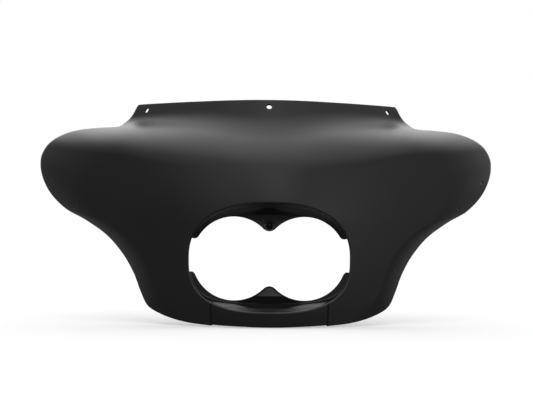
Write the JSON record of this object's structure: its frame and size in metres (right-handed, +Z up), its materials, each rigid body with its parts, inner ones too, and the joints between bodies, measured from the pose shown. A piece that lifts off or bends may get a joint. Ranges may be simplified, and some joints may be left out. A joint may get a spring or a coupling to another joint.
{
  "type": "motorcycle fairing",
  "caption": "Moulded front fairing shell with swept wings, a windscreen flange along the top and a wide oval opening with a lamp surround.",
  "frame": {"origin": "middle of the oval headlamp opening, on the front plane of the lamp surround", "axes": "+X to the right as seen from the front (the rider's left), +Y to the rear, +Z up"},
  "size_m": [0.8114, 0.3183, 0.3794],
  "materials": {
    "black_plastic": "satin black, moulded in colour",
    "insert_brass": "turned, knurled outside"
  },
  "bodies": {
    "root": {"outer_fairing": "black_plastic", "threaded_inserts": "insert_brass"}
  },
  "joints": []
}
